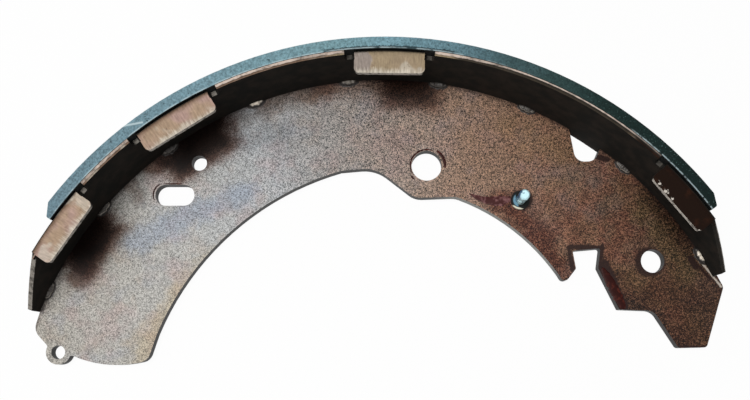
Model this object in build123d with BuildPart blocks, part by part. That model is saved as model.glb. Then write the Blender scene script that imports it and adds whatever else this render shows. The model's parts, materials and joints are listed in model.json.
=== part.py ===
from build123d import *
import os
from math import cos, degrees, radians, sin

# Drum brake shoe, lying on its back edge.
# The origin is where the middle of the lining's face touches the drum, at the level of the table's back edge.
# +Z points along the drum's axis, from the back edge to the edge with the folded tabs. +Y points out of the
# drum, so the drum's axis is one drum radius away along -Y. A bearing is an angle about the drum's axis, in
# degrees from +Y, positive towards +X, the toe end. An inset is a distance from the table's inner face in
# towards the drum's axis, so the web keeps its edge on the table when the drum's size changes.

# ---- driving dimensions, in millimetres and degrees ----

drum_radius = 147.5

# friction lining, bevelled at both ends on its outer face; its margin is how far the table's edges pass it
lining_thickness = 4.1
lining_margin = 0.25
lining_heel = -55.3
lining_toe = 53.6
heel_bevel_length = 4.6
heel_bevel_depth = 2.7
toe_bevel_length = 4.3
toe_bevel_depth = 2.0
lining_rounding = 0.7
bond_thickness = 0.2

# table: the rolled strip, with both near corners cut off at a slant
table_thickness = 1.7
table_width = 30.5
table_heel = -69.0
table_toe = 62.9
heel_corner_depth = 19.5
toe_corner_depth = 18.0

# tabs folded inwards from the table's near edge, as bearing and width, and the relief slots beside the
# folds
tabs = ((-55.3, 26.2), (-32.3, 29.1), (0.7, 25.2), (49.8, 25.6))
tab_depth = 7.4
tab_corner_radius = 1.8
tab_bend_radius = 1.0
relief_width = 3.6
relief_depth = 4.6
relief_radius = 1.2

# web: the blanked plate
web_thickness = 4.0
web_inset = 0.5
web_end_gap = 0.3

# corners of the web's outline, as inset, bearing and rounding radius, from the heel end along the back
# to the toe
web_corners = {
    "heel_crown": (0.4, -72.0, 5.0),
    "ear_throat": (7.7, -73.8, 0.6),
    "heel_pad_start": (17.9, -74.1, 1.5),
    "heel_pad_end": (45.5, -70.4, 4.5),
    "heel_arch_start": (44.7, -64.3, 0.0),
    "heel_arch_end": (34.6, -9.1, 0.0),
    "swell": (34.7, -1.9, 14.0),
    "lobe_heel_side": (45.9, 7.0, 8.0),
    "lobe_toe_side": (42.2, 16.0, 8.0),
    "finger_back": (48.2, 45.9, 0.0),
    "finger_tip": (49.1, 48.3, 1.8),
    "strut_mouth_heel": (41.7, 47.5, 0.8),
    "strut_seat_heel": (37.7, 44.2, 0.8),
    "strut_seat_toe": (29.3, 47.8, 0.8),
    "strut_mouth_toe": (35.1, 50.5, 0.8),
    "flank_foot": (37.8, 60.1, 0.6),
    "toe_back": (26.4, 63.6, 5.0),
    "toe_pad_back": (23.3, 71.8, 1.5),
    "toe_pad_front": (12.9, 73.2, 1.5),
    "toe_crown": (-1.9, 65.1, 2.5),
}
heel_pad_bulge = (31.2, -73.9)
heel_arch_bulge = (40.7, -37.7)
toe_arch_bulge = (44.4, 30.1)

# relief notch under the table, between two welds
notch_mouth_heel = (-1.0, 30.1)
notch_floor_heel = (9.6, 34.2)
notch_floor_toe = (5.1, 36.7)
notch_mouth_toe = (-2.1, 36.0)
notch_radius = 4.0

# holes in the web
hold_down_diameter = 11.7
hold_down_place = (32.7, 8.6)
lever_pivot_diameter = 9.0
lever_pivot_place = (16.7, 55.7)
spring_hole_diameter = 5.9
spring_hole_place = (11.3, -33.5)
slot_length = 15.1
slot_width = 8.2
slot_place = (15.8, -40.2)
ear_radius = 4.7
ear_hole_diameter = 5.3
ear_place = (11.9, -74.2)
ear_fillet = 1.0

# spring post: a stud with a grooved head, riveted over on the web's back face
post_place = (34.0, 29.1)
post_length = 10.6
post_flange_diameter = 7.2
post_flange_thickness = 0.9
post_shank_diameter = 3.7
post_neck_diameter = 2.8
post_neck_length = 1.8
post_neck_slope = 0.5
post_head_diameter = 4.0
post_head_length = 3.9
post_head_chamfer = 0.5
post_rivet_diameter = 5.4
post_rivet_height = 0.35

# projection welds along the corner between the web's front face and the table
weld_bearings = (-65.4, -50.1, -36.1, -20.7, -5.7, 8.5, 23.0, 40.8, 59.2)
weld_length = 7.2
weld_width = 2.2
weld_height = 1.3
weld_chamfer = 0.7

# ---- sizes that follow ----

lining_inner_radius = drum_radius - lining_thickness
table_outer_radius = lining_inner_radius - bond_thickness
table_inner_radius = table_outer_radius - table_thickness
lining_width = table_width - 2 * lining_margin
web_front = web_inset + web_thickness
fold_height = tab_bend_radius + table_thickness
fold_radius = table_inner_radius - tab_bend_radius
overrun = 1.0  # how far a cutting tool runs past the face that it cuts


def polar(radius, bearing, height=0.0):
    """The point at a radius from the drum's axis, on a bearing and at a height."""
    return Vector(radius * sin(radians(bearing)), radius * cos(radians(bearing)) - drum_radius, height)


def drum_centre(height=0.0):
    """The point on the drum's axis at a height."""
    return polar(0, 0, height)


def at(place, height=0.0):
    """The point at an inset and a bearing, which are the first two values of a place, at a height."""
    return polar(table_inner_radius - place[0], place[1], height)


def turn(length, radius=table_inner_radius):
    """The angle in degrees that a length along an arc of that radius takes."""
    return degrees(length / radius)


def looking_out(bearing):
    """The plane on the drum's axis that faces outwards on a bearing, local x to the heel, local y up."""
    outwards = Vector(sin(radians(bearing)), cos(radians(bearing)), 0)
    return Plane(origin=drum_centre(), x_dir=(-outwards.Y, outwards.X, 0), z_dir=outwards)


def looking_down(bearing, height):
    """The plane at a height, with local y pointing outwards on a bearing and local x to the toe."""
    towards_toe = Vector(cos(radians(bearing)), -sin(radians(bearing)), 0)
    return Plane(origin=drum_centre(height), x_dir=towards_toe, z_dir=(0, 0, 1))


def along_table(bearing):
    """The plane that holds the drum's axis, with local x pointing outwards on a bearing and local y up."""
    outwards = Vector(sin(radians(bearing)), cos(radians(bearing)), 0)
    return Plane(origin=drum_centre(), x_dir=outwards, z_dir=(outwards.Y, -outwards.X, 0))


def on_circle(vertices, centre, radius):
    """The vertices that lie on a circle about a centre."""
    return [vertex for vertex in vertices if abs((Vector(vertex) - centre).length - radius) < 0.01]


def ring_sector(inner, outer, heel, toe):
    """The flat ring between two radii, from the heel's bearing to the toe's."""
    with BuildSketch() as sector:
        with BuildLine():
            far = CenterArc(drum_centre(), outer, 90 - toe, toe - heel)
            near = CenterArc(drum_centre(), inner, 90 - toe, toe - heel)
            Line(far @ 0, near @ 0)
            Line(far @ 1, near @ 1)
        make_face()
    return sector.sketch


# ---- web: one blanked plate ----

corner = {name: at(place) for name, place in web_corners.items()}
rounding = {name: place[2] for name, place in web_corners.items() if place[2] > 0}
toe_shoulder = table_toe + turn(web_end_gap)
shoulder_top = polar(table_outer_radius, toe_shoulder)

with BuildPart() as web:
    with BuildSketch(Plane.XY.offset(web_inset)) as blank:
        with BuildLine():
            rim = ThreePointArc(at((0, table_heel)), at((0, 0)), at((0, toe_shoulder)))
            Polyline(rim @ 0, corner["heel_crown"], corner["ear_throat"], corner["heel_pad_start"])
            ThreePointArc(corner["heel_pad_start"], at(heel_pad_bulge), corner["heel_pad_end"])
            Line(corner["heel_pad_end"], corner["heel_arch_start"])
            ThreePointArc(corner["heel_arch_start"], at(heel_arch_bulge), corner["heel_arch_end"])
            Polyline(corner["heel_arch_end"], corner["swell"], corner["lobe_heel_side"])
            Line(corner["lobe_heel_side"], corner["lobe_toe_side"])
            ThreePointArc(corner["lobe_toe_side"], at(toe_arch_bulge), corner["finger_back"])
            Polyline(corner["finger_back"], corner["finger_tip"], corner["strut_mouth_heel"])
            Polyline(corner["strut_mouth_heel"], corner["strut_seat_heel"], corner["strut_seat_toe"])
            Line(corner["strut_seat_toe"], corner["strut_mouth_toe"])
            Polyline(corner["strut_mouth_toe"], corner["flank_foot"], corner["toe_back"])
            Polyline(corner["toe_back"], corner["toe_pad_back"], corner["toe_pad_front"])
            Polyline(corner["toe_pad_front"], corner["toe_crown"], shoulder_top, rim @ 1)
        make_face()
        for name, radius in rounding.items():
            fillet(blank.vertices().sort_by_distance(corner[name])[0], radius)

        # the spring ear, blended into the heel
        ear_centre = at(ear_place)
        with Locations(ear_centre):
            Circle(ear_radius)
        ear_joins = on_circle(blank.vertices(), ear_centre, ear_radius)
        fillet(ear_joins, ear_fillet)
    extrude(amount=web_thickness)

    # the relief notch in the rim
    with BuildSketch(Plane.XY.offset(web_inset)) as notch:
        with BuildLine():
            Polyline(at(notch_mouth_heel), at(notch_floor_heel), at(notch_floor_toe), at(notch_mouth_toe))
            Line(at(notch_mouth_toe), at(notch_mouth_heel))
        make_face()
        floor_corners = [
            notch.vertices().sort_by_distance(at(place))[0] for place in (notch_floor_heel, notch_floor_toe)
        ]
        fillet(floor_corners, notch_radius)
    extrude(amount=web_thickness, mode=Mode.SUBTRACT)

    # round holes and the adjuster slot
    with Locations(at(hold_down_place, web_front)):
        Hole(hold_down_diameter / 2)
    with Locations(at(lever_pivot_place, web_front)):
        Hole(lever_pivot_diameter / 2)
    with Locations(at(spring_hole_place, web_front)):
        Hole(spring_hole_diameter / 2)
    with Locations(at(ear_place, web_front)):
        Hole(ear_hole_diameter / 2)
    with Locations(at(post_place, web_front)):
        Hole(post_shank_diameter / 2)
    with BuildSketch(Plane.XY.offset(web_inset)):
        with Locations(at(slot_place)):
            SlotOverall(slot_length, slot_width)
    extrude(amount=web_thickness, mode=Mode.SUBTRACT)

web.part.label = "web"


# ---- table: one rolled strip with folded tabs ----


def tab_bend(bearing, width):
    """The quarter-round fold that turns the strip inwards, as far as the middle of each relief slot."""
    half = turn((width + relief_width) / 2)
    with BuildPart() as bend:
        with BuildSketch(along_table(bearing + half)):
            with Locations((fold_radius, table_width - fold_height)):
                Circle(fold_height)
                Circle(tab_bend_radius, mode=Mode.SUBTRACT)
                Rectangle(fold_height, fold_height, align=(Align.MIN, Align.MIN), mode=Mode.INTERSECT)
        revolve(axis=Axis(drum_centre(), (0, 0, 1)), revolution_arc=2 * half)
    return bend.part


def tab_flat(bearing, width):
    """The flat of a tab, from the fold to its straight free edge, with rounded corners."""
    depth = tab_depth - tab_bend_radius
    with BuildPart() as flat:
        with BuildSketch(looking_down(bearing, table_width - table_thickness)) as leaf:
            with Locations((0, fold_radius - depth)):
                Rectangle(width, depth, align=(Align.CENTER, Align.MIN))
            Circle(fold_radius, mode=Mode.INTERSECT)
            fillet(leaf.vertices().group_by(Axis.Y)[0], tab_corner_radius)
        extrude(amount=table_thickness)
    return flat.part


with BuildPart() as table:
    with BuildSketch():
        add(ring_sector(table_inner_radius, table_outer_radius, table_heel, table_toe))
    extrude(amount=table_width)

    for bearing, width in tabs:
        # the wall gives way to the fold
        half = turn((width + relief_width) / 2)
        outside = table_outer_radius + overrun
        with BuildSketch(Plane.XY.offset(table_width - fold_height)):
            add(ring_sector(fold_radius - overrun, outside, bearing - half, bearing + half))
        extrude(amount=fold_height + overrun, mode=Mode.SUBTRACT)
        add(tab_bend(bearing, width))
        add(tab_flat(bearing, width))

    # relief slots beside the folds, apart from the outer sides of the first and last tabs
    reliefs = []
    for bearing, width in tabs:
        half = turn((width + relief_width) / 2)
        reliefs += [bearing - half, bearing + half]
    for bearing in reliefs[1:-1]:
        with BuildSketch(looking_out(bearing).offset(fold_radius - overrun)) as slot:
            with Locations((0, table_width + overrun)):
                Rectangle(relief_width, relief_depth + overrun, align=(Align.CENTER, Align.MAX))
            fillet(slot.vertices().group_by(Axis.Z)[0], relief_radius)
        extrude(amount=fold_height + 2 * overrun, mode=Mode.SUBTRACT)

    # slanted corners, from the root of the outermost folds to the strip's ends
    heel_side = tabs[0][0] - turn(tabs[0][1] / 2)
    toe_side = tabs[-1][0] + turn(tabs[-1][1] / 2)
    slants = ((heel_side, table_heel, heel_corner_depth), (toe_side, table_toe, toe_corner_depth))
    for side, end, depth in slants:
        towards_end = 1 if end < side else -1
        reach = table_outer_radius * sin(radians(abs(end - side) / 2)) * towards_end
        slope = (depth - fold_height) / (2 * reach)
        past_end = reach + overrun * towards_end
        with BuildSketch(looking_out((side + end) / 2).offset(fold_radius)):
            with BuildLine():
                Polyline(
                    (-reach, table_width + overrun),
                    (-reach, table_width - fold_height),
                    (past_end, table_width - depth - overrun * towards_end * slope),
                    (past_end, table_width + overrun),
                    close=True,
                )
            make_face()
        extrude(amount=fold_height + overrun, mode=Mode.SUBTRACT)

table.part.label = "table"


# ---- lining and its adhesive ----

with BuildPart() as lining:
    with BuildSketch(Plane.XY.offset(lining_margin)) as profile:
        with BuildLine():
            face_heel = lining_heel + turn(heel_bevel_length, drum_radius)
            face_toe = lining_toe - turn(toe_bevel_length, drum_radius)
            face = CenterArc(drum_centre(), drum_radius, 90 - face_toe, face_toe - face_heel)
            back = CenterArc(drum_centre(), lining_inner_radius, 90 - lining_toe, lining_toe - lining_heel)
            Polyline(face @ 0, polar(drum_radius - toe_bevel_depth, lining_toe), back @ 0)
            Polyline(face @ 1, polar(drum_radius - heel_bevel_depth, lining_heel), back @ 1)
        make_face()
        back_corners = on_circle(profile.vertices(), drum_centre(lining_margin), lining_inner_radius)
        fillet([vertex for vertex in profile.vertices() if vertex not in back_corners], lining_rounding)
    extrude(amount=lining_width)

lining.part.label = "lining"

with BuildPart() as bond_film:
    with BuildSketch(Plane.XY.offset(lining_margin)):
        add(ring_sector(table_outer_radius, lining_inner_radius, lining_heel, lining_toe))
    extrude(amount=lining_width)

bond_film.part.label = "bond_film"


# ---- spring post: a turned stud, riveted over at the back ----

post_tip = web_front + post_length
head_base = post_tip - post_head_length

with BuildPart() as spring_post:
    with BuildSketch(Plane(origin=at(post_place), x_dir=(1, 0, 0), z_dir=(0, -1, 0))):
        with BuildLine():
            Polyline(
                (0, web_inset - post_rivet_height),
                (post_rivet_diameter / 2 - post_rivet_height, web_inset - post_rivet_height),
                (post_rivet_diameter / 2, web_inset),
                (post_shank_diameter / 2, web_inset),
                (post_shank_diameter / 2, web_front),
                (post_flange_diameter / 2, web_front),
                (post_flange_diameter / 2, web_front + post_flange_thickness),
                (post_shank_diameter / 2, web_front + post_flange_thickness),
                (post_shank_diameter / 2, head_base - post_neck_length),
                (post_neck_diameter / 2, head_base - post_neck_length + post_neck_slope),
                (post_neck_diameter / 2, head_base),
                (post_head_diameter / 2, head_base),
                (post_head_diameter / 2, post_tip - post_head_chamfer),
                (post_head_diameter / 2 - post_head_chamfer, post_tip),
                (0, post_tip),
                close=True,
            )
        make_face()
    revolve(axis=Axis(at(post_place), (0, 0, 1)))

spring_post.part.label = "spring_post"


# ---- weld nibs: low lens-shaped lumps in the corner, chamfered along their inner side ----

with BuildPart() as weld_nibs:
    with BuildSketch(Plane.XY.offset(web_front)):
        for bearing in weld_bearings:
            half = turn(weld_length / 2)
            with BuildLine():
                foot = CenterArc(drum_centre(), table_inner_radius, 90 - bearing - half, 2 * half)
                ThreePointArc(foot @ 0, polar(table_inner_radius - weld_width, bearing), foot @ 1)
            make_face()
    extrude(amount=weld_height)
    for top in weld_nibs.faces().group_by(Axis.Z)[-1]:
        chamfer(top.edges().sort_by_distance(drum_centre())[0], weld_chamfer)

weld_nibs.part.label = "weld_nibs"


# ---- files, one for each piece ----

os.makedirs("parts", exist_ok=True)
for piece in (web, table, lining, bond_film, spring_post, weld_nibs):
    export_step(piece.part, f"parts/{piece.part.label}.step")
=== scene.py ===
"""A drum brake shoe, dressed: varnished web, rolled table, friction lining, zinc plated post and weld beads.

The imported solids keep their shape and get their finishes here. The weld beads, the burrs that the punch left
round the holes and the runs where the varnish pooled are modelled here as meshes, and a plain studio stands
round them.
"""

import functools
import json
import logging
import math
from dataclasses import dataclass
from enum import Enum
from typing import Any, Union

import bmesh
import bpy
import numpy as np
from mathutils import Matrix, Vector

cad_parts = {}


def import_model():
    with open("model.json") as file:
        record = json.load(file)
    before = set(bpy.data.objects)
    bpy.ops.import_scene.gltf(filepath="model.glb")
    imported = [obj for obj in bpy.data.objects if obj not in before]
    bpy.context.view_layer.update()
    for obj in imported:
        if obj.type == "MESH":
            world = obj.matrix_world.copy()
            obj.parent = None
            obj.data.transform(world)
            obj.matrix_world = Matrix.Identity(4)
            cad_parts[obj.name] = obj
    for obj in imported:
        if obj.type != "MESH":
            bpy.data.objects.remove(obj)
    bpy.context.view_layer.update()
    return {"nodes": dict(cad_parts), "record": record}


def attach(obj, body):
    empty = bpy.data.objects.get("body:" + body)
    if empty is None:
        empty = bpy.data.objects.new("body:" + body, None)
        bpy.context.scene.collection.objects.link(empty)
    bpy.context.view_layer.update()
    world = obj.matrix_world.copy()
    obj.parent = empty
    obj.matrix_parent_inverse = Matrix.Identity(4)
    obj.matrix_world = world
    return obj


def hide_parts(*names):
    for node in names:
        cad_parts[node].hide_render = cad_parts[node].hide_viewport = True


MM = 0.001

log = logging.getLogger("brake_shoe")

Colour = tuple[float, float, float, float]
Stops = tuple[tuple[float, Colour], ...]
Point = tuple[float, float]
Place = tuple[float, float, float]
Step = tuple[float, float]
Band = tuple[Step, Step]
Number = Union["Value", float]
Paint = Union[Colour, "Value", bpy.types.NodeSocket]


def shade(red: int, green: int, blue: int) -> Colour:
    """A colour in linear light, from the values from 0 to 255 that a screen shows.

    Args:
        red: red as shown.
        green: green as shown.
        blue: blue as shown.

    Returns:
        The colour as red, green, blue and a full alpha.
    """
    shown = np.array([red, green, blue]) / 255
    linear = np.where(shown <= 0.04045, shown / 12.92, ((shown + 0.055) / 1.055) ** 2.4)
    return (*(float(part) for part in linear), 1.0)


def grey(level: float) -> Colour:
    """A neutral colour of a linear level."""
    return (level, level, level, 1.0)


# ---- the shoe's own measures ----


@dataclass(frozen=True)
class Shoe:
    """The measures of the shoe that its finishes and beads follow, in millimetres and degrees.

    A bearing is an angle about the drum's axis from +Y, positive towards the toe end at +X.
    """

    drum_radius: float = 147.5
    lining_inner: float = 143.4
    table_outer: float = 143.2
    table_inner: float = 141.5
    table_width: float = 30.5
    fold_radius: float = 140.5
    tab_depth: float = 7.4
    web_front: float = 4.5
    post_flange: float = 0.9
    heel_tab_end: float = -60.5
    toe_tab_end: float = 55.0
    weld_bearings: tuple[float, ...] = (-65.4, -50.1, -36.1, -20.7, -5.7, 8.5, 23.0, 40.8, 59.2)

    def hole(self, record: dict, name: str) -> Point:
        """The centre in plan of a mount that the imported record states."""
        mount = next(mount for mount in record["mounts"] if mount["name"] == name)
        return mount["pos_m"][0] / MM, mount["pos_m"][1] / MM


# ---- shader arithmetic ----


class Sum(Enum):
    """The arithmetic that a shader does on numbers."""

    ADD = "ADD"
    TAKE = "SUBTRACT"
    TIMES = "MULTIPLY"
    OVER = "DIVIDE"
    ROOT = "SQRT"
    LEAST = "MINIMUM"
    MOST = "MAXIMUM"
    SIZE = "ABSOLUTE"
    BEARING = "ARCTAN2"


class Lay(Enum):
    """How one colour goes on another."""

    OVER = "MIX"
    TINT = "COLOR"
    STAIN = "MULTIPLY"


class Axis(Enum):
    """The axes that a face can look along."""

    X = "X"
    Y = "Y"
    Z = "Z"


class Value:
    """A number that a shader works out at each point, with Python's own arithmetic signs."""

    def __init__(self, nodes: "Nodes", socket: bpy.types.NodeSocket) -> None:
        """Wraps a socket of a node tree."""
        self.nodes = nodes
        self.socket = socket

    def _with(self, sum_: Sum, first: Number, second: Number | None = None) -> "Value":
        """Does one piece of arithmetic.

        Args:
            sum_: what to do.
            first: the first number.
            second: the second number, if there is one.

        Returns:
            The result.
        """
        inputs = {0: first} if second is None else {0: first, 1: second}
        made = self.nodes.node("ShaderNodeMath", {"operation": sum_.value}, inputs)
        return Value(self.nodes, made.outputs[0])

    def __add__(self, other: Number) -> "Value":
        """This number plus another."""
        return self._with(Sum.ADD, self, other)

    def __radd__(self, other: float) -> "Value":
        """Another number plus this one."""
        return self._with(Sum.ADD, other, self)

    def __sub__(self, other: Number) -> "Value":
        """This number less another."""
        return self._with(Sum.TAKE, self, other)

    def __rsub__(self, other: float) -> "Value":
        """Another number less this one."""
        return self._with(Sum.TAKE, other, self)

    def __mul__(self, other: Number) -> "Value":
        """This number times another."""
        return self._with(Sum.TIMES, self, other)

    def __rmul__(self, other: float) -> "Value":
        """Another number times this one."""
        return self._with(Sum.TIMES, other, self)

    def __truediv__(self, other: Number) -> "Value":
        """This number over another."""
        return self._with(Sum.OVER, self, other)

    def root(self) -> "Value":
        """The square root."""
        return self._with(Sum.ROOT, self)

    def size(self) -> "Value":
        """The number without its sign."""
        return self._with(Sum.SIZE, self)

    def least(self, other: Number) -> "Value":
        """The smaller of this number and another."""
        return self._with(Sum.LEAST, self, other)

    def most(self, other: Number) -> "Value":
        """The larger of this number and another."""
        return self._with(Sum.MOST, self, other)

    def bearing(self, other: "Value") -> "Value":
        """The angle in radians whose tangent is this number over another."""
        return self._with(Sum.BEARING, self, other)

    def span(self, low: float, high: float) -> "Value":
        """The straight scale that is low where this number is 0 and high where it is 1."""
        return low + self * (high - low)

    def halfway(self, other: "Value") -> "Value":
        """The mean of this number and another."""
        return self * 0.5 + other * 0.5

    def sway(self, reach: float) -> "Value":
        """How far this number is from a half, times a reach, which makes an edge wander."""
        return (self - 0.5) * reach

    def rise(self, low: float, high: float) -> "Value":
        """A soft step: 0 up to low, 1 from high on, and smooth between. With low above high it falls.

        Args:
            low: where the step starts.
            high: where it ends.

        Returns:
            The step as a value from 0 to 1.
        """
        if low > high:
            return 1 - self.rise(high, low)
        settings = {"interpolation_type": "SMOOTHSTEP"}
        inputs = {"Value": self, "From Min": low, "From Max": high}
        return Value(self.nodes, self.nodes.node("ShaderNodeMapRange", settings, inputs).outputs[0])

    def band(self, start: Step, end: Step) -> "Value":
        """1 between two soft steps, of which the second falls."""
        return self.rise(*start) * self.rise(*end)


@dataclass(frozen=True)
class Noise:
    """Cloudy noise from about 0.2 to 0.8.

    Its clouds are a grain in size, in millimetres. Detail is how many finer layers it has and ragged is how
    strong they are. Shift moves it to another place in the pattern, so that two noises differ.
    """

    grain: float
    detail: float = 2.0
    shift: float = 0.0
    ragged: float = 0.5


@dataclass(frozen=True)
class Patches:
    """Soft patches where a noise is high: the noise, the step that it has to pass, and their strength."""

    noise: Noise
    step: Step
    strength: float = 1.0


@dataclass(frozen=True)
class Stroke:
    """A straight line in plan, and how far to each side of it a mark reaches."""

    start: Point
    end: Point
    reach: float


@dataclass(frozen=True)
class Cast(Stroke):
    """A faint colour that lies over part of a plate, along a stroke."""

    colour: Colour
    strength: float


class Nodes:
    """A tree of shader nodes, which one method adds to."""

    def __init__(self, tree: bpy.types.NodeTree) -> None:
        """Takes over a tree and empties it."""
        self.tree = tree
        self.tree.nodes.clear()

    def node(self, kind: str, settings: dict | None = None, inputs: dict | None = None) -> bpy.types.Node:
        """Adds one node.

        Args:
            kind: the node's type.
            settings: its settings, set before its sockets; "stops" are a ramp's places and colours.
            inputs: what its sockets get, by name, identifier or number: a plain value, a socket or a Value.

        Returns:
            The node.
        """
        made = self.tree.nodes.new(kind)
        for name, setting in (settings or {}).items():
            if name == "stops":
                self._set_stops(made.color_ramp, setting)
            else:
                setattr(made, name, setting)
        for key, given in (inputs or {}).items():
            socket = self._input(made, key)
            source = given.socket if isinstance(given, Value) else given
            if isinstance(source, bpy.types.NodeSocket):
                self.tree.links.new(source, socket)
            else:
                socket.default_value = source
        return made

    @staticmethod
    def _set_stops(ramp: bpy.types.ColorRamp, stops: Stops) -> None:
        """Gives a ramp its stops.

        Args:
            ramp: the ramp.
            stops: the places and colours of its stops.
        """
        while len(ramp.elements) < len(stops):
            ramp.elements.new(1.0)
        for element, (place, colour) in zip(ramp.elements, stops):
            element.position = place
            element.color = colour

    @staticmethod
    def _input(made: bpy.types.Node, key: str | int) -> bpy.types.NodeSocket:
        """Finds a node's input.

        Args:
            made: the node.
            key: the input's number, identifier or name.

        Returns:
            The input.
        """
        if isinstance(key, int):
            return made.inputs[key]
        return next(socket for socket in made.inputs if key in (socket.identifier, socket.name))

    def seen_by_eye(self) -> Value:
        """Tells what is seen from what is lit.

        Returns:
            1 for the rays of the camera and of mirrored and refracted views, and 0 for light.
        """
        path = self.node("ShaderNodeLightPath").outputs
        rays = ("Is Camera Ray", "Is Glossy Ray", "Is Transmission Ray")
        return functools.reduce(Value.most, [Value(self, path[name]) for name in rays])


class Shader(Nodes):
    """One material's nodes, with the place of each point on the shoe in millimetres."""

    def __init__(self, name: str, drum_radius: float = 0.0) -> None:
        """Starts an empty material.

        Args:
            name: the material's name.
            drum_radius: the drum's radius, which sets where its axis is.
        """
        self.material = bpy.data.materials.new(name)
        self.material.use_nodes = True
        super().__init__(self.material.node_tree)
        self.coordinates = self.node("ShaderNodeTexCoord").outputs["Object"]
        parts = self.node("ShaderNodeSeparateXYZ", {}, {0: self.coordinates}).outputs
        self.x, self.y, self.z = (Value(self, part) / MM for part in parts)
        outward = self.y + drum_radius
        self.radius = (self.x * self.x + outward * outward).root()
        self.bearing = self.x.bearing(outward) / math.radians(1)

    def noise(self, noise: Noise) -> Value:
        """Adds a noise.

        Args:
            noise: the noise.

        Returns:
            Its value at each point.
        """
        inputs = {"Vector": self.coordinates, "W": noise.shift, "Scale": 1 / (noise.grain * MM)}
        inputs.update({"Detail": noise.detail, "Roughness": noise.ragged})
        made = self.node("ShaderNodeTexNoise", {"noise_dimensions": "4D"}, inputs)
        return Value(self, made.outputs[0])

    def patches(self, patches: Patches) -> Value:
        """The patches' strength inside them, and 0 outside."""
        return self.noise(patches.noise).rise(*patches.step) * patches.strength

    def blend(self, share: Number, low: Paint, high: Paint, lay: Lay = Lay.OVER) -> bpy.types.NodeSocket:
        """A colour between two others.

        Args:
            share: 0 for the first colour, 1 for the second.
            low: the first colour.
            high: the second colour.
            lay: how the second goes on the first.

        Returns:
            The colour's socket.
        """
        settings = {"data_type": "RGBA", "blend_type": lay.value, "clamp_factor": True}
        inputs = {"Factor_Float": share, "A_Color": low, "B_Color": high}
        mixed = self.node("ShaderNodeMix", settings, inputs)
        return next(socket for socket in mixed.outputs if socket.identifier == "Result_Color")

    def ramp(self, value: Value, stops: Stops) -> bpy.types.NodeSocket:
        """A colour that changes with a value, along the given stops."""
        return self.node("ShaderNodeValToRGB", {"stops": stops}, {0: value}).outputs[0]

    def tinted(self, colour: Paint, level: Value) -> bpy.types.NodeSocket:
        """A colour made darker or lighter by a level around 1."""
        return self.blend(1.0, colour, level, Lay.STAIN)

    def facing(self, axis: Axis) -> Value:
        """How far a face looks along an axis, from -1 to 1."""
        normal = self.node("ShaderNodeNewGeometry").outputs["True Normal"]
        return Value(self, self.node("ShaderNodeSeparateXYZ", {}, {0: normal}).outputs[axis.value])

    def bump(self, height: Value, depth: float) -> bpy.types.NodeSocket:
        """A normal that shows a relief from 0 to 1, at a depth in millimetres."""
        inputs = {"Height": height, "Distance": depth * MM, "Strength": 1.0}
        return self.node("ShaderNodeBump", {}, inputs).outputs[0]

    def on_stroke(self, stroke: Stroke, wander: Value, soft: float) -> Value:
        """The mark that a stroke leaves.

        The point's share along the stroke is its offset from the start, times the stroke's direction, over
        the stroke's length squared, kept between 0 and 1. The distance is that from the point to that place.

        Args:
            stroke: the stroke.
            wander: what is added to the distance from it, so that the mark's edge isn't straight.
            soft: how broad the mark's edge is, in millimetres.

        Returns:
            1 on the mark, 0 away from it.
        """
        run_x, run_y = stroke.end[0] - stroke.start[0], stroke.end[1] - stroke.start[1]
        off_x, off_y = self.x - stroke.start[0], self.y - stroke.start[1]
        share = ((off_x * run_x + off_y * run_y) / (run_x**2 + run_y**2)).most(0.0).least(1.0)
        gap_x, gap_y = off_x - share * run_x, off_y - share * run_y
        distance = (gap_x * gap_x + gap_y * gap_y).root() + wander
        return distance.rise(stroke.reach, stroke.reach - soft)

    def near_point(self, centre: Point) -> Value:
        """The distance in plan from a point, in millimetres."""
        off_x, off_y = self.x - centre[0], self.y - centre[1]
        return (off_x * off_x + off_y * off_y).root()

    def toward(self, centre: Point, turn: float) -> Value:
        """How far out from a centre a point lies in plan, in a direction given in degrees from +X."""
        angle = math.radians(turn)
        return (self.x - centre[0]) * math.cos(angle) + (self.y - centre[1]) * math.sin(angle)

    def finish(self, colour: Paint, roughness: Value, normal: Paint, **fixed: Any) -> bpy.types.Material:
        """Closes the material with one Principled surface.

        Args:
            colour: the base colour.
            roughness: the roughness.
            normal: the normal of its relief.
            **fixed: other sockets by name, with _ for a space.

        Returns:
            The finished material.
        """
        inputs = {"Base Color": colour, "Roughness": roughness}
        inputs.update({name.replace("_", " "): value for name, value in fixed.items()})
        inputs["Normal"] = normal
        surface = self.node("ShaderNodeBsdfPrincipled", {}, inputs)
        self.node("ShaderNodeOutputMaterial", {}, {"Surface": surface.outputs[0]})
        return self.material


# ---- finishes ----


@dataclass(frozen=True)
class Clouds:
    """Faint clouds of a colour all over a plate."""

    colour: Colour
    patches: Patches


@dataclass(frozen=True)
class Spot:
    """A painted shadow on the plate below a tab: its bearing, half its width and how far in it reaches."""

    bearing: float
    half_width: float
    reach: float
    strength: float = 1.0


@dataclass(frozen=True)
class Blot:
    """A round dark mark by a hole or a post: its middle's offset, how it fades outwards and its strength."""

    offset: Point
    fade: Step
    strength: float


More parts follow.
